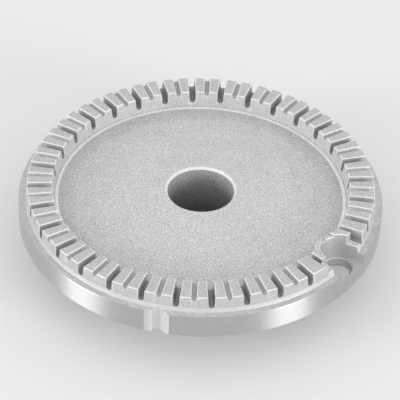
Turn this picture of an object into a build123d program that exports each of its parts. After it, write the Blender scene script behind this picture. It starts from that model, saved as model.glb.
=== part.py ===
"""Burner crown of a gas hob, cast in one piece.

The origin is the middle of the mixing tube's foot, where the crown stands.
Heights are measured upwards from there, and -Y faces the viewer.
"""
import math
import os

from build123d import *

# Main sizes
rim_radius = 50.0
flange_top = 19.3
tooth_height = 4.7
skirt_depth = 7.4

# Turned rim, flange and skirt
rim_top_break = 0.2
rim_chamfer = 0.8
flange_width = 1.9
skirt_wall = 3.1
skirt_draft = 0.5

# Ring of teeth on its foot
foot_height = 1.15
foot_spread = 0.35
tooth_outer_draft = 0.15
tooth_inner_draft = 0.55
ring_width = 6.75

# Pan inside the ring, which falls gently outwards, runs level and turns up to a lip
lip_ledge = 0.7
lip_slope_width = 2.4
level_width = 2.7
pan_drop = 0.75
hub_rise = 2.15
floor_thickness = 2.4

# Mixing tube through the middle
bore_radius = 9.2
bore_edge = 0.6
tube_wall = 2.6

# Flame slots: deep and shallow ones take turns round the ring
deep_slots = 32
slot_phase = 4.6
deep_width_top = 1.9
deep_width_floor = 1.6
deep_floor = 1.3
deep_floor_bevel = 0.5
shallow_width_top = 1.5
shallow_width_floor = 1.15
shallow_floor = 3.6
shallow_floor_bevel = 0.3

# Spark electrode pocket, which stands where a shallow slot would be
pocket_turn = 28.5
pocket_offset = 0.4
pocket_inset = 4.7
pocket_depth = 2.5
pocket_radius_floor = 4.45
pocket_radius_top = 5.3
pocket_flare = 17.0
boss_wall = 1.2
boss_draft = 0.4
electrode_inset = 4.9
electrode_radius = 3.9
electrode_edge = 0.25
pad_wall = 3.2
pad_thickness = 2.75

# Lowered step, short slots and dip beside the pocket
step_inset = 5.7
step_overhang = 2.6
step_floor = 1.9
short_slot_angle = 9.9
short_slot_floor = 1.3
short_slot_stop = 4.4
short_width_top = 1.5
short_width_floor = 1.3
dip_start = 0.7
dip_width = 2.7
dip_depth = 0.75

# Notch left as cast in the turned rim, measured from its middle line
notch_angle = 258.0
notch_depth = 2.4
notch_shoulder_depth = 1.05
notch_shoulder_start = 3.45
notch_shoulder_end = 1.45
notch_hollow_left = 1.25
notch_hollow_right = 1.0
notch_hollow_rise = 0.65
notch_flank_end = 3.45
notch_rise = 1.0

# Overrun of the cutters
clear = 2.0

# Places that follow from the sizes
tooth_top = flange_top + tooth_height
foot_outer = rim_radius - flange_width
tooth_outer_root = foot_outer - foot_spread
tooth_outer_top = tooth_outer_root - tooth_outer_draft
tooth_inner_top = tooth_outer_top - ring_width
tooth_inner_root = tooth_inner_top - tooth_inner_draft
lip_radius = tooth_inner_root - lip_ledge
slope_radius = lip_radius - lip_slope_width
pan_low_radius = slope_radius - level_width
skirt_foot_inside = rim_radius - skirt_wall
skirt_root_inside = skirt_foot_inside - skirt_draft
hub_radius = bore_radius + bore_edge
tube_outer = bore_radius + tube_wall
slot_pitch = 360 / deep_slots
pocket_angle = slot_phase + pocket_turn * slot_pitch + pocket_offset
pocket_reach = rim_radius - pocket_inset
electrode_reach = rim_radius - electrode_inset


def level(height):
    """Height over the foot of a station given from the flange's top face."""
    return flange_top + height


def turned(reach, across, angle):
    """Point at a reach from the axis and a distance across it, turned to an angle."""
    a = math.radians(angle)
    x = reach * math.cos(a) - across * math.sin(a)
    y = reach * math.sin(a) + across * math.cos(a)
    return x, y


def crown_body():
    """Solid of revolution: tube, pan, ring, flange and skirt."""
    fall = (hub_rise + pan_drop) / (pan_low_radius - hub_radius)
    under_low = -pan_drop - floor_thickness
    under_root = under_low + fall * (pan_low_radius - tube_outer)
    with BuildSketch(Plane.XZ) as section:
        with BuildLine():
            # Bore with its bevelled edge, pan and lip
            pan = Polyline(
                (bore_radius, 0),
                (bore_radius, level(hub_rise - bore_edge)),
                (hub_radius, level(hub_rise)),
                (pan_low_radius, level(-pan_drop)),
                (slope_radius, level(-pan_drop)),
                (lip_radius, flange_top),
            )
            # Ring of teeth and its foot
            ring = Polyline(
                pan @ 1,
                (tooth_inner_root, flange_top),
                (tooth_inner_top, tooth_top),
                (tooth_outer_top, tooth_top),
                (tooth_outer_root, level(foot_height)),
                (foot_outer, flange_top),
            )
            # Flange, turned rim and skirt
            skirt = Polyline(
                ring @ 1,
                (rim_radius - rim_top_break, flange_top),
                (rim_radius, level(-rim_top_break)),
                (rim_radius, level(rim_chamfer - skirt_depth)),
                (rim_radius - rim_chamfer, level(-skirt_depth)),
                (skirt_foot_inside, level(-skirt_depth)),
                (skirt_root_inside, level(under_low)),
                (pan_low_radius, level(under_low)),
                (tube_outer, level(under_root)),
            )
            # Outside of the tube, back to the bore
            Polyline(skirt @ 1, (tube_outer, 0), (bore_radius, 0))
        make_face()
    return revolve(section.sketch, Axis.Z)


def slot_cutter(width_top, width_floor, floor, floor_bevel, start, end):
    """Radial cutter with drafted sides and a bevelled floor."""
    top = width_top / 2
    base = width_floor / 2
    over = top + clear * (top - base) / (tooth_height - floor)
    outline = Polygon(
        (-base, level(floor)),
        (base, level(floor)),
        (over, tooth_top + clear),
        (-over, tooth_top + clear),
        align=None,
    )
    profile = chamfer(outline.vertices().sort_by(Axis.Y)[:2], floor_bevel)
    return extrude(Plane.YZ.offset(start) * profile, amount=end - start)


def ring_slots():
    """Deep and shallow slots all round, except where the pocket stands."""
    start = lip_radius - clear
    end = foot_outer + clear
    deep = slot_cutter(deep_width_top, deep_width_floor, deep_floor, deep_floor_bevel, start, end)
    shallow = slot_cutter(
        shallow_width_top, shallow_width_floor, shallow_floor, shallow_floor_bevel, start, end
    )
    cutters = []
    for number in range(deep_slots):
        for half, cutter in ((0.0, deep), (0.5, shallow)):
            from_pocket = number + half - pocket_turn
            if abs(from_pocket) > 1.25:
                angle = slot_phase + (number + half) * slot_pitch
                cutters.append(Rot(0, 0, angle) * cutter)
    return cutters


def pocket_outline(radius, height):
    """Horseshoe face, round on the inside and flared towards the rim."""
    flare = math.radians(pocket_flare)
    reach = rim_radius + clear * 3
    side = pocket_reach - radius * math.sin(flare)
    half = radius * math.cos(flare)
    mouth = half + (reach - side) * math.tan(flare)
    corner_left = turned(side, half, pocket_angle)
    corner_right = turned(side, -half, pocket_angle)
    with BuildSketch(Plane.XY.offset(height)) as outline:
        with BuildLine():
            ThreePointArc(
                corner_left, turned(pocket_reach - radius, 0, pocket_angle), corner_right
            )
            Polyline(
                corner_right,
                turned(reach, -mouth, pocket_angle),
                turned(reach, mouth, pocket_angle),
                corner_left,
            )
        make_face()
    return outline.sketch


def at_pocket(reach, across=0.0):
    """Place and turn a piece at the electrode pocket."""
    return Rot(0, 0, pocket_angle) * Pos(reach, across, 0)


def upright(radius_low, radius_high, low, high):
    """Round post between two heights, drafted when the radii differ."""
    if radius_low == radius_high:
        return Pos(0, 0, (low + high) / 2) * Cylinder(radius_low, high - low)
    return Pos(0, 0, (low + high) / 2) * Cone(radius_low, radius_high, high - low)


def block(start, end, half_width, low, high, across=0.0):
    """Box from one reach to another at the electrode pocket."""
    box = Box(end - start, 2 * half_width, high - low)
    return at_pocket((start + end) / 2, across) * Pos(0, 0, (low + high) / 2) * box


def electrode_additions():
    """Boss wall standing in the pan and pad under the flange."""
    inside_floor = level(-pan_drop - floor_thickness / 2)
    boss_top = pocket_radius_top + boss_wall
    boss = at_pocket(pocket_reach) * upright(boss_top + boss_draft, boss_top, inside_floor, tooth_top)
    boss &= upright(tooth_inner_top + clear, tooth_inner_top + clear, 0, tooth_top)
    pad_radius = electrode_radius + pad_wall
    pad = at_pocket(electrode_reach) * upright(
        pad_radius, pad_radius, level(-pocket_depth - pad_thickness), inside_floor
    )
    inside_skirt = skirt_foot_inside + skirt_wall / 3
    pad &= upright(inside_skirt, inside_skirt, 0, tooth_top)
    return boss + pad


def electrode_cuts():
    """Pocket, electrode hole, lowered step and the slots beside the pocket."""
    over = tooth_top + clear
    draft = (pocket_radius_top - pocket_radius_floor) / (tooth_height + pocket_depth)
    pocket = loft(
        [
            pocket_outline(pocket_radius_floor, level(-pocket_depth)),
            pocket_outline(pocket_radius_top + draft * clear, over),
        ],
        ruled=True,
    )
    hole = at_pocket(electrode_reach) * upright(
        electrode_radius, electrode_radius, level(-skirt_depth) - clear, level(-pocket_depth) + clear
    )
    countersink = at_pocket(electrode_reach) * upright(
        electrode_radius,
        electrode_radius + electrode_edge,
        level(-pocket_depth) - electrode_edge,
        level(-pocket_depth),
    )
    step = block(
        rim_radius - step_inset, foot_outer, pocket_radius_top + step_overhang, level(step_floor), over
    )
    dip = block(
        lip_radius - clear * 2,
        pocket_reach,
        dip_width / 2,
        tooth_top - dip_depth,
        over,
        dip_start + dip_width / 2,
    )
    middle = slot_cutter(
        shallow_width_top, shallow_width_floor, shallow_floor, shallow_floor_bevel,
        lip_radius - clear * 2, pocket_reach,
    )
    sides = []
    for side, end in ((-1, rim_radius - short_slot_stop), (1, foot_outer)):
        short = slot_cutter(
            short_width_top, short_width_floor, short_slot_floor, shallow_floor_bevel,
            lip_radius - clear, end,
        )
        sides.append(Rot(0, 0, pocket_angle + side * short_slot_angle) * short)
    return [pocket, hole, countersink, step, dip, Rot(0, 0, pocket_angle) * middle] + sides


def notch_cutter():
    """Shoulder, hollow and sloping flank cut through the rim from top to bottom."""
    outside = rim_radius + clear
    deepest = rim_radius - notch_depth
    shoulder = rim_radius - notch_shoulder_depth
    middle = (notch_hollow_right - notch_hollow_left) / 2
    hollow_start = turned(deepest + notch_hollow_rise, -notch_hollow_left, notch_angle)
    hollow_end = turned(deepest + notch_hollow_rise, notch_hollow_right, notch_angle)
    with BuildSketch(Plane.XY.offset(level(-skirt_depth) - clear)) as outline:
        with BuildLine():
            Polyline(
                turned(outside, -notch_shoulder_start, notch_angle),
                turned(shoulder, -notch_shoulder_start, notch_angle),
                turned(shoulder, -notch_shoulder_end, notch_angle),
                hollow_start,
            )
            ThreePointArc(hollow_start, turned(deepest, middle, notch_angle), hollow_end)
            Polyline(
                hollow_end,
                turned(rim_radius, notch_flank_end, notch_angle),
                turned(outside, notch_flank_end, notch_angle),
                turned(outside, -notch_shoulder_start, notch_angle),
            )
        make_face()
    return extrude(outline.sketch, amount=clear + skirt_depth + notch_rise)


crown = crown_body() + electrode_additions()
crown = crown - ring_slots()
crown = crown - electrode_cuts()
crown = crown - notch_cutter()

os.makedirs("parts", exist_ok=True)
export_step(crown, "parts/burner_crown.step")
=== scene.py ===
"""Cast burner crown of a gas hob: softened edges, cast and turned metal, soft light, camera."""
import math

import bmesh
import bpy
from mathutils import Matrix, Vector


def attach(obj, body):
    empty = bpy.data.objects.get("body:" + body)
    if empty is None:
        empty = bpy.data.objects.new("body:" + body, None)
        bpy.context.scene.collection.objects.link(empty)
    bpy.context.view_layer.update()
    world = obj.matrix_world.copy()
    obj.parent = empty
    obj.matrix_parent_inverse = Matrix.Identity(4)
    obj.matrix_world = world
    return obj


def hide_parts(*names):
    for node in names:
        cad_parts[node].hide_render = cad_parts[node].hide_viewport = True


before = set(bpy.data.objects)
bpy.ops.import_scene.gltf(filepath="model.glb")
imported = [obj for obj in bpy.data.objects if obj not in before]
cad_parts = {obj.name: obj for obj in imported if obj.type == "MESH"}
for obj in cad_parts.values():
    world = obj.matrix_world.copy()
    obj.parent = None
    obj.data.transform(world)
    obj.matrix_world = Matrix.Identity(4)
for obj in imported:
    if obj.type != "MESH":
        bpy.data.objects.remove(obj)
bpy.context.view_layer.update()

# Stations of the casting, in metres
flange_top = 0.0193
foot_top = 0.02045
hub_radius = 0.0098
pan_turns = (0.0345, 0.0372)
lip_radius = 0.0396
ring_inside = 0.0403
tooth_root = 0.0477
foot_outer = 0.0481
notch_inside = 0.0475
rim_inner_edge = 0.0496
slack = 0.00012
pan_depth = 0.002

# How far a face has to lean one way to count as steep, level or facing in or out
steep_limit = 0.3
level_limit = 0.8
flat_limit = 0.9
facing_limit = 0.5
wall_limit = 0.7
upright_share = 0.9

# Electrode pocket: the way it lies from the axis and half the angle it takes up
pocket_angle = math.radians(-34.375)
pocket_reach = 0.0453
pocket_half = math.radians(8.8)
pocket_border = math.radians(12.5)

# Heights over the flange of the slot floors with their bevels
slot_floors = ((0.0011, 0.00185), (0.0034, 0.0039))

# Softened edges of the casting
weld_distance = 1e-6
sliver_length = 4e-6
flat_angle = math.radians(1.0)
edge_angle = math.radians(28)
tooth_edge_width = 0.00022
pocket_edge_width = 0.0002
lip_edge_width = 0.00042
mouth_edge_width = 0.0001
edge_segments = 2
turn_width = 0.001
turn_segments = 4

# Grain of the blasted metal and marks of the turned metal
grain_scale = 2300.0
grain_detail = 5.0
grain_roughness = 0.72
grain_levels = (0.34, 0.7)
cloud_scale = 170.0
cloud_detail = 4.0
cloud_roughness = 0.55
cloud_dull = 0.94
grain_bump = 0.5
grain_gloss = (1.2, 0.8)
stain_scale = 900.0
stain_detail = 4.0
stain_roughness = 0.65
line_detail = 2.0
line_roughness = 0.6
line_bump = 0.35
line_gloss = (0.8, 1.25)
upright_streaks = 0.25
middle_levels = (0.3, 0.7)

# Camera, fitted to the photograph
image_pixels = 400
focal_pixels = 2360.5
sensor_width = 36.0
camera_distance = 0.6495
camera_elevation = math.radians(39.44)
camera_pitch = math.radians(39.5615)
camera_yaw = math.radians(-0.0164)
camera_roll = math.radians(1.9004)

# Light and floor
floor_half = 3.0
floor_colour = (0.88, 0.88, 0.88, 1.0)
sky_levels = ((0.0, 0.88), (0.62, 0.88), (0.92, 0.71), (1.0, 0.69))
front_lean = (0.0, -0.06, 0.0)
box_angles = (math.radians(-157), math.radians(-38))
box_elevation = math.radians(12)
box_distance = 2.0
box_width = 0.74
box_height = 0.8
box_power = 17.0


def add_node(tree, kind, **inputs):
    """New shader node with its plain input values set."""
    node = tree.nodes.new(kind)
    for name, value in inputs.items():
        node.inputs[name.replace("_", " ")].default_value = value
    return node


def new_material(name):
    """Material with an empty tree, its principled shader and its output."""
    material = bpy.data.materials.new(name)
    material.use_nodes = True
    tree = material.node_tree
    tree.nodes.clear()
    shader = tree.nodes.new("ShaderNodeBsdfPrincipled")
    output = tree.nodes.new("ShaderNodeOutputMaterial")
    tree.links.new(shader.outputs["BSDF"], output.inputs["Surface"])
    return material, tree, shader


def noise(tree, place, scale, detail, roughness):
    """Noise texture in the casting's own coordinates."""
    node = add_node(tree, "ShaderNodeTexNoise", Scale=scale, Detail=detail, Roughness=roughness)
    tree.links.new(place.outputs["Object"], node.inputs["Vector"])
    return node


def ramp(tree, source, levels, start, end):
    """Colour ramp from one grey to another between two levels of a source."""
    node = tree.nodes.new("ShaderNodeValToRGB")
    first, last = node.color_ramp.elements
    first.position, last.position = levels
    first.color = (start, start, start, 1.0)
    last.color = (end, end, end, 1.0)
    tree.links.new(source, node.inputs["Fac"])
    return node.outputs["Color"]


def product(tree, first, second):
    """Two colours multiplied."""
    node = tree.nodes.new("ShaderNodeMix")
    node.data_type = "RGBA"
    node.blend_type = "MULTIPLY"
    node.inputs["Factor"].default_value = 1.0
    tree.links.new(first, node.inputs["A"])
    tree.links.new(second, node.inputs["B"])
    return node.outputs["Result"]


def reach_from_axis(tree, place):
    """Distance from the casting's axis."""
    flat = tree.nodes.new("ShaderNodeVectorMath")
    flat.operation = "MULTIPLY"
    flat.inputs[1].default_value = (1.0, 1.0, 0.0)
    tree.links.new(place.outputs["Object"], flat.inputs[0])
    length = tree.nodes.new("ShaderNodeVectorMath")
    length.operation = "LENGTH"
    tree.links.new(flat.outputs["Vector"], length.inputs[0])
    return length.outputs["Value"]


def height(tree, place):
    """Height over the casting's foot."""
    split = tree.nodes.new("ShaderNodeSeparateXYZ")
    tree.links.new(place.outputs["Object"], split.inputs["Vector"])
    return split.outputs["Z"]


def cast_metal(name, dark, light, roughness, depth, painted_shade=None, metallic=0.5):
    """Shot-blasted aluminium: sparkling grain over cloudy patches, darkened by painted shade along
    any given gradient.
    """
    material, tree, shader = new_material(name)
    place = tree.nodes.new("ShaderNodeTexCoord")
    grain = noise(tree, place, grain_scale, grain_detail, grain_roughness).outputs["Fac"]
    cloud = noise(tree, place, cloud_scale, cloud_detail, cloud_roughness).outputs["Fac"]
    sparkle = ramp(tree, grain, grain_levels, dark, light)
    tone = product(tree, sparkle, ramp(tree, cloud, middle_levels, cloud_dull, 1.0))
    # Painted shade: the tone darkens from one end of a height or reach to the other.
    if painted_shade:
        measure, start, end, dull_and_shade = painted_shade
        spread = add_node(
            tree, "ShaderNodeMapRange", From_Min=start, From_Max=end, To_Min=1.0, To_Max=dull_and_shade
        )
        tree.links.new(measure(tree, place), spread.inputs["Value"])
        tone = product(tree, tone, spread.outputs["Result"])
    tree.links.new(tone, shader.inputs["Base Color"])
    dull_and_shade, bright = grain_gloss
    gloss = ramp(tree, grain, middle_levels, roughness * dull_and_shade, roughness * bright)
    tree.links.new(gloss, shader.inputs["Roughness"])
    bump = add_node(tree, "ShaderNodeBump", Strength=grain_bump, Distance=depth)
    tree.links.new(grain, bump.inputs["Height"])
    tree.links.new(bump.outputs["Normal"], shader.inputs["Normal"])
    shader.inputs["Metallic"].default_value = metallic
    return material


def turned_metal(name, dark, light, roughness, metallic, line_scale, line_depth, brushed=0.0):
    """Turned aluminium: fine tool lines round the axis and faint stains, brushed if it says so."""
    material, tree, shader = new_material(name)
    place = tree.nodes.new("ShaderNodeTexCoord")
    rings = tree.nodes.new("ShaderNodeCombineXYZ")
    tree.links.new(reach_from_axis(tree, place), rings.inputs["X"])
    tree.links.new(height(tree, place), rings.inputs["Y"])
    lines = add_node(
        tree, "ShaderNodeTexNoise", Scale=line_scale, Detail=line_detail, Roughness=line_roughness
    )
    tree.links.new(rings.outputs["Vector"], lines.inputs["Vector"])
    stain = noise(tree, place, stain_scale, stain_detail, stain_roughness).outputs["Fac"]
    tree.links.new(ramp(tree, stain, middle_levels, dark, light), shader.inputs["Base Color"])
    bright, dull_and_shade = line_gloss
    gloss = ramp(tree, lines.outputs["Fac"], middle_levels, roughness * bright, roughness * dull_and_shade)
    tree.links.new(gloss, shader.inputs["Roughness"])
    bump = add_node(tree, "ShaderNodeBump", Strength=line_bump, Distance=line_depth)
    tree.links.new(lines.outputs["Fac"], bump.inputs["Height"])
    tree.links.new(bump.outputs["Normal"], shader.inputs["Normal"])
    shader.inputs["Metallic"].default_value = metallic
    shader.inputs["Anisotropic"].default_value = brushed
    shader.inputs["Anisotropic Rotation"].default_value = upright_streaks
    grooves = tree.nodes.new("ShaderNodeTangent")
    grooves.direction_type = "RADIAL"
    grooves.axis = "Z"
    tree.links.new(grooves.outputs["Tangent"], shader.inputs["Tangent"])
    return material


def near_pocket(point, half_angle):
    """Whether a point lies within an angle to each side of the electrode pocket."""
    turn = math.atan2(point.y, point.x) - pocket_angle
    return abs(math.remainder(turn, 2 * math.pi)) < half_angle


def faces_pocket(face):
    """Whether a face looks towards the middle of the electrode pocket."""
    centre = Vector((math.cos(pocket_angle), math.sin(pocket_angle))) * pocket_reach
    return face.normal.xy.dot(centre - face.calc_center_median().xy) > 0


def face_finish_and_painted_light(face):
    """Which finish a face of the casting has, from where it lies and the way it faces; several
    finishes hold painted shade and painted highlights.
    """
    middle = face.calc_center_median()
    reaches = [math.hypot(v.co.x, v.co.y) for v in face.verts]
    nearest = min(reaches)
    farthest = max(reaches)
    outward = (face.normal.x * middle.x + face.normal.y * middle.y) / max(middle.xy.length, 1e-9)
    steep = abs(face.normal.z) < steep_limit
    over = middle.z - flange_top
    if nearest > rim_inner_edge and outward > facing_limit:
        return "rim"
    if farthest < hub_radius + slack and steep:
        return "bore"
    if farthest < hub_radius + slack and face.normal.z > steep_limit:
        return "bevel"
    if farthest < lip_radius + slack and face.normal.z > level_limit:
        return "pan"
    if abs(over) < slack and face.normal.z > flat_limit and nearest > tooth_root:
        return "flange"
    on_foot = nearest > tooth_root - slack and 0 < over < foot_top - flange_top
    if on_foot and outward > facing_limit:
        return "foot"
    if near_pocket(middle, pocket_half) and steep:
        return "hollow" if faces_pocket(face) else "wall"
    if near_pocket(middle, pocket_half):
        return "cast"
    if nearest > notch_inside and steep and over < slack:
        return "foot"
    if over < slack or nearest < ring_inside - slack:
        return "cast"
    if outward > wall_limit:
        return "outer"
    if outward < -wall_limit:
        return "wall"
    if steep or any(low < over < high for low, high in slot_floors):
        return "slot"
    return "cast"


def runs_round(edge, reaches):
    """Whether an edge of the pan or lip runs round the axis at one of the given reaches."""
    ends = [math.hypot(v.co.x, v.co.y) for v in edge.verts]
    above = min(v.co.z for v in edge.verts) > flange_top - pan_depth
    return above and any(all(abs(end - reach) < slack for end in ends) for reach in reaches)


def is_sharp(edge):
    """Whether two faces meet at an edge with a clear turn."""
    return len(edge.link_faces) == 2 and edge.calc_face_angle() > edge_angle


def on_top(edge, cast):
    """Whether an edge bounds a top face of the ring from above."""
    if not is_sharp(edge) or not edge.is_convex:
        return False
    tops = [f for f in edge.link_faces if f.normal.z > flat_limit and f.material_index == cast]
    return any(f.calc_center_median().z > flange_top + slack for f in tops)


def at_mouth(edge, bright):
    """Whether an edge is an upright corner of a tooth, below the top already softened."""
    low, high = sorted(v.co.z for v in edge.verts)
    reaches = [math.hypot(v.co.x, v.co.y) for v in edge.verts]
    if low < flange_top + slack or min(reaches) < ring_inside - slack or max(reaches) > foot_outer:
        return False
    if any(f.material_index == bright for f in edge.link_faces):
        return False
    if high - low < upright_share * edge.calc_length():
        return False
    return is_sharp(edge) and edge.is_convex


def soften(form, edges, width, segments):
    """Round a set of edges and give back the new faces."""
    rounded = bmesh.ops.bevel(
        form, geom=edges, offset=width, offset_type="OFFSET", segments=segments, profile=0.5,
        affect="EDGES", clamp_overlap=False, material=-1, loop_slide=True,
    )
    form.normal_update()
    return rounded["faces"]


def rounded_casting(node, finishes_and_painted_light):
    """Copy of the solid with softened edges and a finish on each face, several of them with
    painted shade and painted highlights.
    """
    mesh = bpy.data.meshes.new("crown_casting")
    form = bmesh.new()
    form.from_mesh(node.data)
    bmesh.ops.remove_doubles(form, verts=form.verts, dist=weld_distance)
    bmesh.ops.dissolve_limit(
        form, angle_limit=flat_angle, verts=form.verts, edges=form.edges, delimit={"NORMAL"}
    )
    form.normal_update()
    order = list(finishes_and_painted_light)
    for face in form.faces:
        face.material_index = order.index(face_finish_and_painted_light(face))
    soften(form, [e for e in form.edges if runs_round(e, pan_turns)], turn_width, turn_segments)
    # The rounded lip, tooth tops and tooth mouths get the edge finish, whose lighter tone is a
    # painted highlight.
    bright = order.index("edge")
    cast = order.index("cast")
    lips = [e for e in form.edges if runs_round(e, (lip_radius,))]
    for face in soften(form, lips, lip_edge_width, edge_segments):
        face.material_index = bright
    tops = [e for e in form.edges if on_top(e, cast)]
    beside = [e for e in tops if near_pocket(e.verts[0].co, pocket_border)]
    clear = [e for e in tops if e not in beside]
    for edges, width in ((clear, tooth_edge_width), (beside, pocket_edge_width)):
        for face in soften(form, [e for e in edges if e.is_valid], width, edge_segments):
            face.material_index = bright
    mouths = [e for e in form.edges if at_mouth(e, bright)]
    for face in soften(form, mouths, mouth_edge_width, edge_segments):
        face.material_index = bright
    bmesh.ops.dissolve_degenerate(form, dist=sliver_length, edges=form.edges)
    form.normal_update()
    for edge in form.edges:
        softened = any(f.material_index == bright for f in edge.link_faces)
        edge.smooth = softened or not is_sharp(edge)
    for face in form.faces:
        face.smooth = True
    form.to_mesh(mesh)
    form.free()
    casting = bpy.data.objects.new("crown_casting", mesh)
    bpy.context.scene.collection.objects.link(casting)
    for finish in order:
        mesh.materials.append(finishes_and_painted_light[finish])
    casting.modifiers.new("flat_faces", "WEIGHTED_NORMAL").keep_sharp = True
    return casting


def add_floor():
    """Plain pale floor, wide enough to fill every view."""
    mesh = bpy.data.meshes.new("floor")
    signs = [(-1, -1), (1, -1), (1, 1), (-1, 1)]
    corners = [(x * floor_half, y * floor_half, 0.0) for x, y in signs]
    mesh.from_pydata(corners, [], [(0, 1, 2, 3)])
    floor = bpy.data.objects.new("floor", mesh)
    bpy.context.scene.collection.objects.link(floor)
    material, tree, shader = new_material("pale_floor")
    shader.inputs["Base Color"].default_value = floor_colour
    shader.inputs["Roughness"].default_value = 1.0
    shader.inputs["Specular IOR Level"].default_value = 0.0
    mesh.materials.append(material)


def add_light():
    """Soft light from all round, a little stronger from the front and weaker overhead."""
    world = bpy.data.worlds.new("studio")
    world.use_nodes = True
    tree = world.node_tree
    background = tree.nodes["Background"]
    place = tree.nodes.new("ShaderNodeTexCoord")
    split = tree.nodes.new("ShaderNodeSeparateXYZ")
    tree.links.new(place.outputs["Generated"], split.inputs["Vector"])
    sky = tree.nodes.new("ShaderNodeValToRGB")
    steps = sky.color_ramp.elements
    while len(steps) < len(sky_levels):
        steps.new(0.5)
    for step, (position, level) in zip(steps, sky_levels):
        step.position = position
        step.color = (level, level, level, 1.0)
    tree.links.new(split.outputs["Z"], sky.inputs["Fac"])
    tree.links.new(sky.outputs["Color"], background.inputs["Color"])
    lean = tree.nodes.new("ShaderNodeVectorMath")
    lean.operation = "DOT_PRODUCT"
    lean.inputs[1].default_value = front_lean
    tree.links.new(place.outputs["Generated"], lean.inputs[0])
    strength = tree.nodes.new("ShaderNodeMath")
    strength.operation = "ADD"
    strength.inputs[1].default_value = 1.0
    tree.links.new(lean.outputs["Value"], strength.inputs[0])
    tree.links.new(strength.outputs["Value"], background.inputs["Strength"])
    bpy.context.scene.world = world


def add_soft_boxes():
    """Two soft boxes at the front left and front right, which the rim shows as bright streaks."""
    for number, angle in enumerate(box_angles):
        lamp = bpy.data.lights.new("soft_box_%d" % number, "AREA")
        lamp.shape = "RECTANGLE"
        lamp.size = box_width
        lamp.size_y = box_height
        lamp.energy = box_power
        box = bpy.data.objects.new("soft_box_%d" % number, lamp)
        away = Vector((
            math.cos(angle) * math.cos(box_elevation),
            math.sin(angle) * math.cos(box_elevation),
            math.sin(box_elevation),
        ))
        box.location = away * box_distance
        box.rotation_euler = (-away).to_track_quat("-Z", "Y").to_euler()
        box.visible_camera = False
        bpy.context.scene.collection.objects.link(box)


def add_camera():
    """Camera at the photograph's place, turned as the photograph is."""
    data = bpy.data.cameras.new("camera")
    data.sensor_fit = "HORIZONTAL"
    data.sensor_width = sensor_width
    data.lens = focal_pixels / image_pixels * sensor_width
    data.clip_start = 0.01
    camera = bpy.data.objects.new("camera", data)
    ahead = Vector((
        math.sin(camera_yaw) * math.cos(camera_pitch),
        math.cos(camera_yaw) * math.cos(camera_pitch),
        -math.sin(camera_pitch),
    ))
    level = ahead.cross(Vector((0, 0, 1))).normalized()
    upward = level.cross(ahead)
    right = level * math.cos(camera_roll) + upward * math.sin(camera_roll)
    above = upward * math.cos(camera_roll) - level * math.sin(camera_roll)
    place = Vector((
        0.0,
        -camera_distance * math.cos(camera_elevation),
        camera_distance * math.sin(camera_elevation) + flange_top,
    ))
    turn = Matrix((right, above, -ahead)).transposed()
    camera.matrix_world = Matrix.Translation(place) @ turn.to_4x4()
    bpy.context.scene.collection.objects.link(camera)
    bpy.context.scene.camera = camera


# Finishes of the casting; several hold painted shade and painted highlights in their tone, noted
# at each.
finishes_and_painted_light = {
    "cast": cast_metal(
        "cast_aluminium", dark=0.48, light=0.82, roughness=0.64, depth=0.00004
    ),
    # Pan: blasted metal, with painted shade darkening it towards the lip.
    "pan": cast_metal(
        "blasted_pan_painted_shade", dark=0.48, light=1.0, roughness=0.7, depth=0.00005,
        painted_shade=(reach_from_axis, 0.0345, 0.0385, 0.76),
    ),
    # Inner walls: the cast metal a little darker, as painted shade set for the way they face the
    # light.
    "wall": cast_metal(
        "inner_walls_painted_shade", dark=0.5, light=0.74, roughness=0.64, depth=0.00004
    ),
    # Outer walls: the cast metal darker still, as painted shade set for the way they face the
    # light.
    "outer": cast_metal(
        "outer_walls_painted_shade", dark=0.45, light=0.67, roughness=0.64, depth=0.00004
    ),
    # Walls facing into the electrode pocket: darker, as painted shade in the recess.
    "hollow": cast_metal(
        "pocket_walls_painted_shade", dark=0.41, light=0.61, roughness=0.5, depth=0.00004
    ),
    # Slots: cast metal with painted shade, darker towards the slot floors.
    "slot": cast_metal(
        "slot_walls_painted_shade", dark=0.5, light=0.8, roughness=0.6, depth=0.00005,
        painted_shade=(height, 0.024, 0.0212, 0.62),
    ),
    # Bore: rough cast wall, with painted shade darker further down the bore.
    "bore": cast_metal(
        "rough_bore_painted_shade", dark=0.34, light=1.0, roughness=0.5, depth=0.00008,
        painted_shade=(height, 0.019, 0.007, 0.35),
    ),
    # Rounded edges: a lighter, less metallic tone as a painted highlight.
    "edge": cast_metal(
        "edges_painted_highlight", dark=0.7, light=1.0, roughness=0.4, depth=0.00002, metallic=0.15
    ),
    # Rounded rim of the bore: lighter, as a painted highlight.
    "bevel": cast_metal(
        "bore_bevel_painted_highlight", dark=0.78, light=0.9, roughness=0.4, depth=0.00001, metallic=0.15
    ),
    # Foot band and notch faces: a smoother finish, lighter than the cast metal as a painted
    # highlight.
    "foot": cast_metal(
        "smooth_foot_painted_highlight", dark=0.62, light=0.78, roughness=0.45, depth=0.00002
    ),
    "flange": turned_metal(
        "turned_flange", dark=0.51, light=0.73, roughness=0.5, metallic=0.4,
        line_scale=6000.0, line_depth=0.00001,
    ),
    "rim": turned_metal(
        "turned_rim", dark=0.53, light=0.59, roughness=0.4, metallic=1.0,
        line_scale=7000.0, line_depth=0.000002, brushed=0.96,
    ),
}
casting = rounded_casting(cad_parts["burner_crown"], finishes_and_painted_light)
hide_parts("burner_crown")
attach(casting, "root")
add_floor()
add_light()
add_soft_boxes()
add_camera()
bpy.context.scene.view_settings.view_transform = "Standard"
